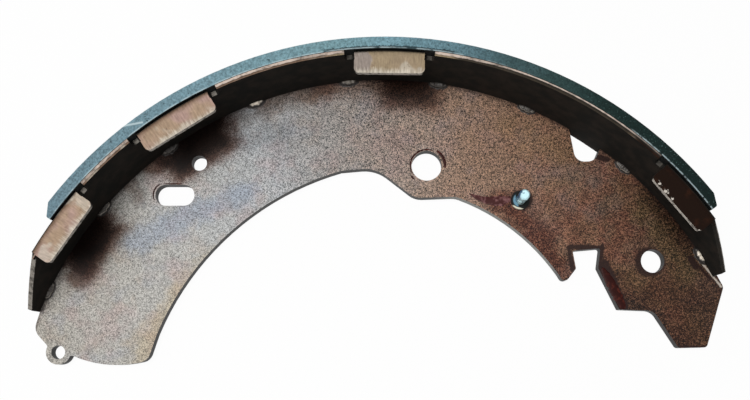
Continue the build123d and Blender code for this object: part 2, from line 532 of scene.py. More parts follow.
@dataclass(frozen=True)
class WebFinish:
    """Thin brown varnish on pickled steel: a cool grey at the heel, brown and darker towards the toe, a fall
    that is partly the varnish and partly painted light.
    """

    shoe: Shoe
    post: Point
    pivot: Point

    # The tone along the plate from heel to toe, partly varnish that thickens to the toe and partly painted
    # light that is pale and cool at the heel, the clouds over it, and the reddened toe end.
    tone_ends: Step = (-130.0, 130.0)
    tones: Stops = (
        (0.00, shade(154, 150, 143)),
        (0.20, shade(158, 158, 156)),
        (0.32, shade(154, 157, 160)),
        (0.40, shade(136, 135, 134)),
        (0.50, shade(135, 127, 121)),
        (0.60, shade(131, 109, 94)),
        (0.72, shade(120, 95, 78)),
        (0.80, shade(104, 77, 60)),
        (0.88, shade(77, 53, 37)),
        (1.00, shade(52, 34, 22)),
    )
    tone_noise: Noise = Noise(34.0, 3.0)
    tone_wander: float = 40.0
    clouds: tuple[Clouds, ...] = (
        Clouds(shade(150, 168, 200), Patches(Noise(9.0, 3.0, 3.0), (0.50, 0.68), 0.16)),
        Clouds(shade(176, 140, 108), Patches(Noise(7.0, 3.0, 7.0), (0.50, 0.68), 0.14)),
        Clouds(shade(160, 132, 132), Patches(Noise(11.0, 3.0, 23.0), (0.48, 0.66), 0.30)),
    )
    maroon: Clouds = Clouds(shade(128, 70, 58), Patches(Noise(8.0, 4.0, 37.0, 0.6), (0.46, 0.62), 0.55))
    maroon_from: Step = (30.0, 100.0)

    # Casts change the hue and pools darken; the pools are partly where varnish pooled and partly painted shade
    # along the table's wall and below the tabs.
    casts: tuple[Cast, ...] = (
        Cast((-98.0, -70.0), (-54.0, -50.0), 8.0, shade(152, 168, 192), 0.5),
        Cast((-92.0, -112.0), (-66.0, -78.0), 10.0, shade(182, 162, 124), 0.5),
        Cast((48.0, -26.0), (70.0, -36.0), 9.0, shade(146, 116, 78), 0.35),
        Cast((92.0, -84.0), (112.0, -88.0), 9.0, shade(120, 104, 62), 0.25),
        Cast((92.0, -98.0), (112.0, -108.0), 9.0, shade(124, 64, 44), 0.55),
        Cast((100.0, -58.0), (117.0, -82.0), 8.0, shade(112, 98, 62), 0.6),
        Cast((118.0, -98.0), (123.0, -110.0), 6.0, shade(116, 98, 60), 0.4),
    )
    pools: tuple[Cast, ...] = (
        Cast((66.0, -56.0), (76.0, -66.0), 7.0, shade(204, 184, 180), 0.7),
        Cast((92.0, -94.0), (106.0, -99.0), 4.5, shade(150, 96, 86), 0.9),
        Cast((-58.0, -22.0), (-46.0, -18.0), 6.0, shade(200, 192, 188), 0.8),
        Cast((-101.0, -46.0), (-94.0, -52.0), 6.0, shade(184, 172, 168), 0.9),
        Cast((46.0, -54.0), (68.0, -80.0), 9.0, shade(150, 100, 94), 1.0),
        Cast((80.0, -78.0), (96.0, -98.0), 10.0, shade(120, 76, 60), 0.9),
        Cast((96.0, -96.0), (116.0, -118.0), 12.0, shade(140, 104, 84), 0.9),
        Cast((104.0, -88.0), (122.0, -92.0), 8.0, shade(170, 130, 104), 0.8),
        Cast((-112.0, -74.0), (-119.0, -84.0), 8.0, shade(140, 112, 100), 0.9),
        Cast((-90.0, -40.0), (-76.0, -38.0), 7.0, shade(150, 120, 104), 0.9),
        Cast((-48.0, -14.0), (-24.0, -9.0), 8.0, shade(196, 172, 156), 0.8),
        Cast((-56.0, -31.0), (-42.0, -27.0), 7.0, shade(226, 230, 234), 0.9),
        Cast((112.0, -94.0), (122.0, -106.0), 9.0, shade(230, 204, 188), 0.9),
        Cast((74.0, -44.0), (88.0, -54.0), 9.0, shade(232, 246, 244), 0.9),
        Cast((102.0, -52.5), (117.0, -72.5), 7.0, shade(160, 158, 134), 0.9),
        Cast((-24.0, -9.0), (14.0, -6.0), 9.0, shade(196, 164, 148), 0.8),
    )
    cast_noise: Noise = Noise(7.0, 4.0, 13.0, 0.7)
    cast_wander: float = 16.0
    cast_softness: float = 0.9

    # The fine speckle of the pickled steel, which is stronger and rustier towards the toe.
    grain: Noise = Noise(0.34, 1.0, 1.0, 0.6)
    grain_step: Step = (0.36, 0.62)
    grain_strength: float = 0.94
    flecks: Patches = Patches(Noise(0.70, 2.0, 5.0, 0.6), (0.36, 0.64), 0.50)
    dots: Patches = Patches(Noise(0.50, 1.0, 17.0), (0.60, 0.68), 0.30)
    speckle_middle: float = 0.68
    speckle_toeward: Step = (-70.0, 20.0)
    toe_contrast: float = 1.75
    rust: Colour = shade(168, 126, 100)
    rust_strength: float = 0.3
    level: float = 0.80

    # Painted shadow below the tabs, in a thin fringe and a darker middle.
    spots: tuple[Spot, ...] = (
        Spot(-55.6, 11.0, 11.0),
        Spot(-32.3, 14.0, 12.6),
        Spot(4.4, 10.0, 10.0, 0.76),
    )
    soot_noise: Noise = Noise(5.0, 4.0, 19.0, 0.7)
    soot_wander: float = 12.0
    soot_grain: float = 5.0
    soot_inward_share: float = 0.6
    soot_aside: Step = (5.0, -4.0)
    soot_inward: Step = (3.0, -4.0)
    soot: Colour = shade(46, 30, 26)
    soot_strength: float = 0.92
    fringe: Colour = shade(176, 138, 124)
    fringe_spread: float = 2.5

    # Where varnish gathered and dried nearly black, with painted shade in the table's corner and painted
    # shadow round the post, and a painted highlight along one edge at the toe.
    plum: Colour = shade(33, 18, 16)
    stain_noise: Noise = Noise(2.4, 3.0, 11.0)
    stain_wander: float = 3.0
    corner_fade: Step = (1.6, 0.2)
    corner_strength: float = 0.55
    post_blot: Blot = Blot((0.8, 0.3), (4.7, 3.6), 0.95)
    pivot_blot: Blot = Blot((-1.2, -0.2), (6.6, 4.9), 0.92)
    blot_wander_share: float = 0.4
    dark_edges: tuple[Stroke, ...] = (
        Stroke((80.5, -36.0), (86.5, -37.5), 1.5),
        Stroke((71.2, -71.7), (83.0, -72.0), 1.5),
        Stroke((70.8, -71.9), (72.4, -80.4), 1.3),
        Stroke((83.6, -71.8), (82.2, -78.6), 1.6),
        Stroke((83.8, -79.2), (90.2, -94.6), 3.3),
        Stroke((92.0, -97.6), (101.0, -99.0), 1.0),
        Stroke((102.0, -99.6), (110.6, -112.6), 1.3),
        Stroke((118.8, -76.8), (125.0, -84.0), 1.0),
        Stroke((117.8, -76.4), (119.8, -79.2), 1.7),
        Stroke((112.4, -110.0), (123.0, -110.1), 0.9),
    )
    dark_edge_wander_share: float = 0.5
    dark_edge_softness: float = 0.8
    dark_edge_strength: float = 0.94
    bright_edge: Stroke = Stroke((121.2, -76.8), (129.2, -87.0), 0.55)
    bright_edge_wander: float = 1.0
    bright_edge_softness: float = 0.35
    bright_edge_strength: float = 0.7
    bare: Colour = shade(206, 196, 184)

    # The sheared faces round the plate are dark, partly as painted shade, but for the lower edge of the arch
    # by the post, which is painted pale as lit.
    flat_from: Step = (0.3, 0.7)
    lit_arch: Band = ((16.0, 30.0), (70.0, 62.0))
    lit_below: Step = (-44.0, -50.0)
    cut_steel: Colour = shade(150, 150, 146)
    cut_dark: Colour = shade(30, 28, 26)
    cut_noise: Noise = Noise(0.8, 3.0, 9.0)
    cut_levels: Step = (0.4, 1.2)

    roughness: Step = (0.36, 0.58)
    relief: float = 0.05
    metal: float = 0.18
    gloss: float = 0.16

    def material(self) -> bpy.types.Material:
        """Builds the web's material.

        Returns:
            The material.
        """
        shader = Shader("web_varnish", self.shoe.drum_radius)
        grain = shader.noise(self.grain)
        tone = self._speckled(shader, grain, self._tone(shader))
        # Painted shadow below the tabs: a brown fringe, then a darker middle.
        tone = shader.blend(self._soot(shader, grain, self.fringe_spread), tone, self.fringe, Lay.STAIN)
        soot = self._soot(shader, grain, 0.0) * self.soot_strength
        tone = shader.blend(soot, tone, self.soot, Lay.STAIN)
        # Varnish stains, with painted shade in the table's corner and painted shadow round the post.
        tone = shader.blend(self._stain(shader), tone, self.plum)
        # Painted highlight along the toe end's front edge.
        wander = grain.sway(self.bright_edge_wander)
        bright = shader.on_stroke(self.bright_edge, wander, self.bright_edge_softness)
        tone = shader.blend(bright * self.bright_edge_strength, tone, self.bare)
        flat = shader.facing(Axis.Z).size().rise(*self.flat_from)
        # The cut faces: dark, partly painted shade, and painted pale as lit at the arch by the post.
        lit = shader.x.band(*self.lit_arch) * shader.y.rise(*self.lit_below)
        cut = shader.blend(lit, self.cut_dark, self.cut_steel)
        cut = shader.tinted(cut, shader.noise(self.cut_noise).span(*self.cut_levels))
        colour = shader.blend(flat, cut, tone)
        relief = shader.bump(grain.halfway(shader.noise(self.flecks.noise)), self.relief)
        shine = {"Metallic": flat * self.metal, "Specular_IOR_Level": self.gloss}
        return shader.finish(colour, grain.span(*self.roughness), relief, **shine)

    def _tone(self, shader: Shader) -> bpy.types.NodeSocket:
        """The plate's colour without its speckle: from heel to toe, with clouds, casts, and pools that are
        partly painted shade.

        Args:
            shader: the tree to add to.

        Returns:
            The colour's socket.
        """
        heel, toe = self.tone_ends
        along = (shader.x + shader.noise(self.tone_noise).sway(self.tone_wander) - heel) / (toe - heel)
        tone = shader.ramp(along, self.tones)
        for clouds in self.clouds:
            tone = shader.blend(shader.patches(clouds.patches), tone, clouds.colour, Lay.TINT)
        reddened = shader.patches(self.maroon.patches) * shader.x.rise(*self.maroon_from)
        tone = shader.blend(reddened, tone, self.maroon.colour, Lay.TINT)
        wander = shader.noise(self.cast_noise).sway(self.cast_wander)
        # The pools darken: partly pooled varnish, partly painted shade by the wall and below the tabs.
        for casts, lay in ((self.casts, Lay.TINT), (self.pools, Lay.STAIN)):
            for cast in casts:
                share = shader.on_stroke(cast, wander, cast.reach * self.cast_softness) * cast.strength
                tone = shader.blend(share, tone, cast.colour, lay)
        return tone

    def _speckled(self, shader: Shader, grain: Value, tone: Paint) -> bpy.types.NodeSocket:
        """The plate's colour with its speckle.

        Args:
            shader: the tree to add to.
            grain: the plate's fine noise.
            tone: the colour without speckle.

        Returns:
            The colour's socket.
        """
        grains = grain.rise(*self.grain_step) * self.grain_strength
        level = grains + shader.patches(self.flecks) - shader.patches(self.dots) - self.speckle_middle
        toeward = shader.x.rise(*self.speckle_toeward)
        tone = shader.blend(level.most(0.0) * toeward * self.rust_strength, tone, self.rust)
        return shader.tinted(tone, (1 + level * toeward.span(1.0, self.toe_contrast)) * self.level)

    def _soot(self, shader: Shader, grain: Value, spread: float) -> Value:
        """Painted shadow on the plate below each tab.

        Args:
            shader: the tree to add to.
            grain: the plate's fine noise.
            spread: how much further than the shadow's dark middle the share reaches.

        Returns:
            1 in the painted shadows, 0 away from them.
        """
        wall = self.shoe.table_inner
        wander = shader.noise(self.soot_noise).sway(self.soot_wander) + grain.sway(self.soot_grain)
        inset = wall - shader.radius + wander * self.soot_inward_share
        shares = []
        for spot in self.spots:
            aside = (shader.bearing - spot.bearing).size() * math.radians(wall) - spot.half_width + wander
            across = aside.rise(*(spread + edge for edge in self.soot_aside))
            inward = inset.rise(*(spread + spot.reach + edge for edge in self.soot_inward))
            shares.append(across * inward * spot.strength)
        return functools.reduce(Value.most, shares)

    def _stain(self, shader: Shader) -> Value:
        """Dark marks: varnish by the notches and edges, a ring round the pivot hole, varnish and painted
        shadow round the post, and painted shade in the table's corner.

        Args:
            shader: the tree to add to.

        Returns:
            1 on the stains and the painted shade, 0 away from them.
        """
        wander = shader.noise(self.stain_noise).sway(self.stain_wander)
        # Painted shade in the corner beside the table's wall.
        corner = (self.shoe.table_inner - shader.radius + wander).rise(*self.corner_fade)
        shares = [corner * self.corner_strength]
        for centre, blot in ((self.post, self.post_blot), (self.pivot, self.pivot_blot)):
            middle = (centre[0] + blot.offset[0], centre[1] + blot.offset[1])
            near = shader.near_point(middle) + wander * self.blot_wander_share
            shares.append(near.rise(*blot.fade) * blot.strength)
        for edge in self.dark_edges:
            mark = shader.on_stroke(edge, wander * self.dark_edge_wander_share, self.dark_edge_softness)
            shares.append(mark * self.dark_edge_strength)
        return functools.reduce(Value.most, shares)


@dataclass(frozen=True)
class Chip:
    """A bare chip in the varnish: its place in plan and its radius."""

    place: Point
    size: float


@dataclass(frozen=True)
class TableFinish:
    """The same varnish on the rolled strip: near black on the wall, partly as painted shade, tan on the tabs,
    bare on cut edges.

    Heights are from the strip's near edge and widths from its outer face.
    """

    shoe: Shoe

    # The wall, near black from dark varnish and painted shade, and the noises that all the strip's marks
    # share.
    wall: Colour = shade(34, 33, 31)
    wall_light: Colour = shade(48, 43, 39)
    mottle: Noise = Noise(5.0, 4.0)
    light_from: Step = (0.35, 0.7)
    fine: Noise = Noise(0.9, 2.0, 2.0)
    fine_levels: Step = (0.84, 1.16)
    toe_tab_from: Step = (36.0, 40.0)

    # How far the tabs' tops reach round their folds, and the arc between them that has none.
    fold_height: Step = (-1.4, -1.0)
    fold_upward: Step = (0.42, 0.70)
    fold_width: Step = (-0.5, -1.7)
    plain_arc: Band = ((9.5, 11.0), (38.5, 37.0))
    plain_share: float = 0.1

    # The three tan tabs, with painted shade on their folds.
    tab_tan: Colour = shade(172, 148, 126)
    tab_pink: Colour = shade(176, 148, 138)
    pink: Patches = Patches(Noise(9.0, 2.0, 27.0), (0.40, 0.60))
    fold_brown: Colour = shade(120, 98, 82)
    fold_fade: Step = (0.10, -0.20)
    fold_wander: float = 0.2
    tab_pale: Colour = shade(202, 194, 180)
    pale_from: Step = (0.52, 0.92)
    pale_wander: float = 0.5
    pale: Patches = Patches(Noise(7.0, 2.0, 31.0), (0.56, 0.66), 0.6)
    tab_olive: Colour = shade(158, 142, 116)
    olive_from: Step = (-9.0, -7.0)
    olive_strength: float = 0.8
    rubbed_grey: Colour = shade(152, 142, 138)
    rubbed_place: Point = (-9.4, -9.6)
    rubbed_fade: Step = (5.4, 4.0)
    rubbed_wander: float = 9.0
    rubbed_stroke_wander: float = 3.0
    rubbed_strength: float = 0.8
    marks: Patches = Patches(Noise(2.0, 3.0, 25.0), (0.62, 0.70), 0.5)
    stroke_levels: Step = (0.50, 1.50)
    stroke_drawn: float = 0.18
    stroke_scale: float = 1.5
    stroke_detail: float = 2.0
    stroke_ragged: float = 0.6

    # The dark tab at the toe, with its chips.
    tab_brown: Colour = shade(31, 20, 15)
    tab_rust: Colour = shade(62, 36, 24)
    rust_from: Step = (0.52, 0.68)
    rust_strength: float = 0.5
    chip_noise: Noise = Noise(0.7, 3.0, 21.0)
    chip_wander: float = 3.6
    chip_core: float = 0.6
    chip_strength: float = 0.9
    chips: tuple[Chip, ...] = (
        Chip((96.9, -53.3), 0.7),
        Chip((99.2, -56.2), 0.9),
        Chip((101.2, -58.8), 0.6),
        Chip((110.4, -70.2), 0.6),
    )

    # The worn near edge and the sheared faces.
    bare: Colour = shade(214, 196, 184)
    lip: Colour = shade(222, 214, 204)
    edge_height: Step = (-0.35, -0.1)
    edge_outer: Step = (-0.05, -0.2)
    edge_inner: Step = (-1.15, -0.85)
    edge_noise: Noise = Noise(2.2, 3.0, 5.0)
    edge_outer_wander: float = 0.3
    edge_narrowed: Step = (10.0, 24.0)
    edge_narrowing: float = 0.45
    edge_narrow_wander: float = 0.25
    edge_base: float = 0.25
    edge_worn: Patches = Patches(Noise(11.0, 2.0, 9.0), (0.36, 0.56), 0.4)
    edge_broken: Patches = Patches(Noise(1.3, 3.0, 33.0), (0.36, 0.56), 0.4)
    toe_edge_share: float = 0.35
    cut_base: float = 0.3
    cut_broken: Patches = Patches(Noise(1.6, 3.0, 15.0), (0.34, 0.56), 0.7)
    cut_strength: float = 0.9
    tip_facing: Step = (0.6, 0.9)
    tip_depth: Step = (4.0, 4.5)
    end_facing: Step = (0.25, 0.5)
    rim_outer: Step = (-0.45, -0.2)
    heel_end_strength: float = 0.41
    toe_end_strength: float = 0.01
    toe_rim_strength: float = 0.4
    slot_facing: Step = (0.93, 0.99)
    slot_height: Step = (-1.5, -2.0)
    slot_strength: float = 0.32
    toe_slot_strength: float = 0.10
    slot_change: Step = (-22.0, -12.0)

    roughness: Step = (0.7, 0.9)
    relief: float = 0.03
    gloss: float = 0.05

    def material(self) -> bpy.types.Material:
        """Builds the table's material.

        Returns:
            The material.
        """
        shader = Shader("table_varnish", self.shoe.drum_radius)
        mottle = shader.noise(self.mottle)
        fine = shader.noise(self.fine)
        wall = shader.blend(mottle.rise(*self.light_from), self.wall, self.wall_light)
        toeward = shader.bearing.rise(*self.toe_tab_from)
        tan = self._tan_tabs(shader, toeward, mottle)
        tabs = shader.blend(toeward, tan, self._dark_tab(shader, mottle))
        # Upward faces of the tabs take their tones; elsewhere the wall's near black is partly painted shade.
        colour = shader.blend(self._tab_top(shader), wall, tabs)
        edge = self._near_edge(shader) * toeward.span(1.0, self.toe_edge_share)
        colour = shader.blend(edge, colour, self.bare)
        colour = shader.blend(self._cut_faces(shader) * self.cut_strength, colour, self.lip)
        colour = shader.tinted(colour, fine.span(*self.fine_levels))
        relief = shader.bump(fine.halfway(mottle), self.relief)
        return shader.finish(colour, fine.span(*self.roughness), relief, Specular_IOR_Level=self.gloss)

    def _tab_top(self, shader: Shader) -> Value:
        """Where the tabs' tones lie: on their upper faces and round the upper part of their folds.

        Args:
            shader: the tree to add to.

        Returns:
            1 on the tabs, 0 elsewhere.
        """
        high = (shader.z - self.shoe.table_width).rise(*self.fold_height)
        upward = shader.facing(Axis.Z).rise(*self.fold_upward)
        folded = (shader.radius - self.shoe.table_outer).rise(*self.fold_width)
        plain = shader.bearing.band(*self.plain_arc).span(1.0, self.plain_share)
        return high * upward * folded * plain

    def _tan_tabs(self, shader: Shader, toeward: Value, mottle: Value) -> bpy.types.NodeSocket:
        """The tone of the first three tabs: tan, pink and olive, with painted shade on the fold, stroked by
        the press, pale at the free edge.

        Args:
            shader: the tree to add to.
            toeward: 0 on these tabs, 1 on the dark one.
            mottle: the strip's broad noise.

        Returns:
            The colour's socket.
        """
        depth = (self.shoe.fold_radius - shader.radius) / self.shoe.tab_depth
        strokes = self._strokes(shader)
        tan = shader.blend(shader.patches(self.pink), self.tab_tan, self.tab_pink)
        # Painted shade on the fold, where the tab bends away below the lining.
        fold = (depth + mottle.sway(self.fold_wander)).rise(*self.fold_fade)
        tan = shader.blend(fold, tan, self.fold_brown)
        olive = shader.bearing.rise(*self.olive_from) * (1 - toeward)
        tan = shader.blend(olive * self.olive_strength, tan, self.tab_olive)
        wander = mottle.sway(self.rubbed_wander) + strokes.sway(self.rubbed_stroke_wander)
        rubbed = (shader.near_point(self.rubbed_place) + wander).rise(*self.rubbed_fade)
        tan = shader.blend(rubbed * self.rubbed_strength, tan, self.rubbed_grey)
        wander = mottle.sway(self.pale_wander) + strokes.sway(self.pale_wander)
        pale = (depth + wander).rise(*self.pale_from).most(shader.patches(self.pale))
        tan = shader.blend(pale, tan, self.tab_pale)
        tan = shader.blend(shader.patches(self.marks), tan, self.fold_brown)
        return shader.tinted(tan, strokes.span(*self.stroke_levels))

    def _dark_tab(self, shader: Shader, mottle: Value) -> bpy.types.NodeSocket:
        """The tone of the tab at the toe: brown black with rust and a few bare chips.

        Args:
            shader: the tree to add to.
            mottle: the strip's broad noise.

        Returns:
            The colour's socket.
        """
        rust = mottle.rise(*self.rust_from) * self.rust_strength
        dark = shader.blend(rust, self.tab_brown, self.tab_rust)
        wander = shader.noise(self.chip_noise).sway(self.chip_wander)
        shares = []
        for chip in self.chips:
            near = shader.near_point(chip.place) + wander
            shares.append(near.rise(chip.size, chip.size * self.chip_core))
        return shader.blend(functools.reduce(Value.most, shares) * self.chip_strength, dark, self.lip)

    def _strokes(self, shader: Shader) -> Value:
        """Noise drawn out from fold to free edge, as the press tool left it.

        Args:
            shader: the tree to add to.

        Returns:
            The noise's value.
        """
        arc = shader.bearing * math.radians(self.shoe.fold_radius)
        drawn = shader.radius * self.stroke_drawn
        place = shader.node("ShaderNodeCombineXYZ", {}, {0: arc, 1: drawn, 2: 0.0})
        inputs = {"Vector": place.outputs[0], "Scale": self.stroke_scale}
        inputs.update({"Detail": self.stroke_detail, "Roughness": self.stroke_ragged})
        return Value(shader, shader.node("ShaderNodeTexNoise", {}, inputs).outputs[0])

    def _near_edge(self, shader: Shader) -> Value:
        """Where the strip's near edge has lost its varnish, in a band of changing width and brightness.

        Args:
            shader: the tree to add to.

        Returns:
            The share of bare steel.
        """
        top = (shader.z - self.shoe.table_width).rise(*self.edge_height)
        wander = shader.noise(self.edge_noise).sway(1.0)
        narrowed = shader.bearing.rise(*self.edge_narrowed)
        width = shader.radius - self.shoe.table_outer
        outer = (width - wander * self.edge_outer_wander).rise(*self.edge_outer)
        inward = width - narrowed * self.edge_narrowing
        inner = (inward + wander * narrowed.span(1.0, self.edge_narrow_wander)).rise(*self.edge_inner)
        worn = self.edge_base + shader.patches(self.edge_worn) + shader.patches(self.edge_broken)
        return top * outer * inner * worn

    def _cut_faces(self, shader: Shader) -> Value:
        """Where the shears went through the strip: the tabs' free edges, the ends and the slots' floors.

        Args:
            shader: the tree to add to.

        Returns:
            The share of bare steel.
        """
        shoe = self.shoe
        outward_x = shader.x / shader.radius
        outward_y = (shader.y + shoe.drum_radius) / shader.radius
        face_x, face_y = shader.facing(Axis.X), shader.facing(Axis.Y)
        inward = (face_x * outward_x + face_y * outward_y) * -1
        along = (face_x * outward_y - face_y * outward_x).size()
        tips = inward.rise(*self.tip_facing) * (shoe.fold_radius - shader.radius).rise(*self.tip_depth)
        beyond_tabs = shader.bearing.rise(shoe.heel_tab_end, shoe.heel_tab_end - 1)
        beyond_tabs = beyond_tabs.most(shader.bearing.rise(shoe.toe_tab_end, shoe.toe_tab_end + 1))
        rim = (shader.radius - shoe.table_outer).rise(*self.rim_outer)
        at_toe = shader.x.rise(0.0, 1.0)
        strength = at_toe.span(self.heel_end_strength, self.toe_end_strength)
        strength = strength + rim * at_toe * self.toe_rim_strength
        ends = along.rise(*self.end_facing) * beyond_tabs * strength
        below_edge = (shader.z - shoe.table_width).rise(*self.slot_height)
        above_web = shader.z.rise(shoe.table_width / 2, shoe.table_width / 2 + 1)
        slot_floors = shader.facing(Axis.Z).rise(*self.slot_facing) * below_edge * above_web
        toeward = shader.bearing.rise(*self.slot_change)
        slot_floors = slot_floors * toeward.span(self.slot_strength, self.toe_slot_strength)
        return tips.most(ends).most(slot_floors) * (self.cut_base + shader.patches(self.cut_broken))


@dataclass(frozen=True)
class LiningFinish:
    """Moulded friction material: blue grey, partly as a painted reflection towards the heel, faintly speckled,
    darker to the toe, pale at its rim.
    """

    shoe: Shoe

    # The tone from heel to toe, whose pale blue grey at the heel is partly a painted reflection, its grain and
    # its pores.
    tone_ends: Step = (-120.0, 120.0)
    tones: Stops = (
        (0.00, shade(106, 131, 143)),
        (0.25, shade(120, 152, 164)),
        (0.42, shade(120, 155, 164)),
        (0.50, shade(124, 162, 176)),
        (0.62, shade(92, 122, 132)),
        (0.74, shade(48, 70, 70)),
        (0.86, shade(20, 37, 35)),
        (1.00, shade(10, 24, 23)),
    )
    tone_noise: Noise = Noise(16.0, 3.0)
    tone_wander: float = 30.0
    grain: Noise = Noise(0.7, 3.0, 1.0, 0.6)
    grain_step: Step = (0.3, 0.7)
    grain_levels: Step = (0.62, 1.28)
    pore: Colour = shade(24, 34, 36)
    pores: Patches = Patches(Noise(1.3, 2.0, 4.0), (0.64, 0.72))
    pore_strength: float = 0.7

    # Small chips towards the toe, the pale rim, and one scratch.
    toeward: Step = (10.0, 60.0)
    teal: Colour = shade(84, 112, 110)
    chips: Patches = Patches(Noise(0.55, 2.0, 8.0), (0.60, 0.72), 0.6)
    pale: Colour = shade(190, 210, 216)
    pale_strength: float = 0.8
    near_face: Step = (0.7, 0.9)
    rim_fade: Step = (0.55, 0.25)
    rim_wander: float = 0.5
    rim_strength: float = 0.8
    rim_worn: Patches = Patches(Noise(6.0, 3.0, 6.0, 0.6), (0.40, 0.56))
    rim_dots: Patches = Patches(Noise(1.6, 2.0, 14.0), (0.34, 0.52))
    dotted_arc: Band = ((37.0, 39.0), (56.0, 53.0))
    scratch: Stroke = Stroke((-95.4, -33.0), (-86.0, -31.2), 0.5)
    scratch_wander: float = 0.4
    scratch_softness: float = 0.3

    # Painted shade on the inner rim, in the crease above the crown's tab.
    glued_arc: Band = ((-9.0, -8.0), (10.5, 9.5))
    glue_fade: Step = (1.1, 0.6)
    glue_wander: float = 1.2
    glue_strength: float = 0.85

    roughness: Step = (0.66, 0.86)
    relief: float = 0.09
    gloss: float = 0.12

    def material(self) -> bpy.types.Material:
        """Builds the lining's material.

        Returns:
            The material.
        """
        shader = Shader("friction_lining", self.shoe.drum_radius)
        heel, toe = self.tone_ends
        along = (shader.x + shader.noise(self.tone_noise).sway(self.tone_wander) - heel) / (toe - heel)
        grain = shader.noise(self.grain)
        tone = shader.ramp(along, self.tones)
        tone = shader.tinted(tone, grain.rise(*self.grain_step).span(*self.grain_levels))
        pores = shader.patches(self.pores)
        tone = shader.blend(pores * self.pore_strength, tone, self.pore)
        tone = shader.blend(shader.patches(self.chips) * shader.x.rise(*self.toeward), tone, self.teal)
        near_face = shader.facing(Axis.Z).rise(*self.near_face)
        rim_gap = shader.radius - self.shoe.lining_inner
        # Painted shade on the inner rim above the crown's tab.
        glued = (rim_gap + grain.sway(self.glue_wander)).rise(*self.glue_fade)
        glued = glued * shader.bearing.band(*self.glued_arc) * near_face * self.glue_strength
        tone = shader.blend(glued, tone, self.pore)
        worn = self._worn(shader, grain, rim_gap) * near_face * self.pale_strength
        tone = shader.blend(worn, tone, self.pale)
        relief = shader.bump(grain.halfway(1 - pores), self.relief)
        return shader.finish(tone, grain.span(*self.roughness), relief, Specular_IOR_Level=self.gloss)

    def _worn(self, shader: Shader, grain: Value, rim_gap: Value) -> Value:
        """Where the near face is pale: along its inner rim and the scratch.

        Args:
            shader: the tree to add to.
            grain: the lining's fine noise.
            rim_gap: the distance out from its inner rim.

        Returns:
            1 along the pale rim and the scratch, 0 elsewhere.
        """
        worn = shader.patches(self.rim_worn) * (1 - shader.x.rise(*self.toeward))
        dotted = shader.patches(self.rim_dots) * shader.bearing.band(*self.dotted_arc)
        rim = (rim_gap + grain.sway(self.rim_wander)).rise(*self.rim_fade) * worn.most(dotted)
        scratch = shader.on_stroke(self.scratch, grain.sway(self.scratch_wander), self.scratch_softness)
        return (rim * self.rim_strength).most(scratch)


@dataclass(frozen=True)
class BondFinish:
    """The black line of cured adhesive."""

    body: Colour = shade(14, 16, 16)
    worn: Colour = shade(34, 36, 36)
    lumps: Noise = Noise(1.4, 3.0)
    worn_from: Step = (0.4, 0.7)
    roughness: Step = (0.5, 0.8)
    relief: float = 0.08
    gloss: float = 0.15

    def material(self) -> bpy.types.Material:
        """Builds the adhesive's material.

        Returns:
            The material.
        """
        shader = Shader("cured_adhesive")
        lumps = shader.noise(self.lumps)
        colour = shader.blend(lumps.rise(*self.worn_from), self.body, self.worn)
        relief = shader.bump(lumps, self.relief)
        return shader.finish(colour, lumps.span(*self.roughness), relief, Specular_IOR_Level=self.gloss)


@dataclass(frozen=True)
class Side:
    """A side of the post in another colour: its direction from +X, where it starts and its wander."""

    colour: Colour
    turn: float
    start: Step
    wander: float


@dataclass(frozen=True)
class ZincFinish:
    """Bright zinc plating, darker and bluer as painted shade on its heel side and in random blooms, and a
    flange under old varnish.

    A painted glint lies on the flange towards the heel, and one crescent of the flange is pale.
    """

    post: Point
    flange_top: float
    bright: Colour = shade(204, 242, 250)
    dull: Side = Side(shade(70, 100, 128), 156.0, (0.9, 1.5), 3.0)
    varnished: Colour = shade(15, 17, 17)
    thin: Side = Side(shade(120, 164, 186), 196.0, (1.0, 1.7), 1.6)
    thin_rim: Step = (3.0, 2.5)
    thin_strength: float = 0.8
    clean: Side = Side(shade(226, 220, 200), 252.0, (2.75, 2.95), 0.6)
    bloom: Noise = Noise(1.8, 2.0)
    bloom_from: Step = (0.56, 0.66)
    bloom_strength: float = 0.7
    flange_edge: Step = (0.15, 0.02)
    roughness: Step = (0.26, 0.46)
    varnish_roughness: float = 0.4
    metal: float = 0.2
    gloss: float = 0.2
    relief: float = 0.02

    def material(self) -> bpy.types.Material:
        """Builds the post's material.

        Returns:
            The material.
        """
        shader = Shader("zinc_plating")
        bloom = shader.noise(self.bloom)
        # Painted shade on the heel side of the post, joined by random blooms.
        dull = self._side(shader, bloom, self.dull).most(bloom.rise(*self.bloom_from) * self.bloom_strength)
        plating = shader.blend(dull, self.bright, self.dull.colour)
        # Painted glint on the flange towards the heel.
        thin = self._side(shader, bloom, self.thin) * shader.near_point(self.post).rise(*self.thin_rim)
        flange = shader.blend(thin * self.thin_strength, self.varnished, self.thin.colour)
        flange = shader.blend(self._side(shader, bloom, self.clean), flange, self.clean.colour)
        low = (shader.z - self.flange_top).rise(*self.flange_edge)
        colour = shader.blend(low, plating, flange)
        roughness = bloom.span(*self.roughness) + low * self.varnish_roughness
        shine = {"Metallic": low.span(self.metal, 0.0), "Specular_IOR_Level": self.gloss}
        return shader.finish(colour, roughness, shader.bump(bloom, self.relief), **shine)

    def _side(self, shader: Shader, bloom: Value, side: Side) -> Value:
        """1 on one side of the post, with an edge that wanders with the bloom."""
        return (shader.toward(self.post, side.turn) + bloom.sway(side.wander)).rise(*side.start)


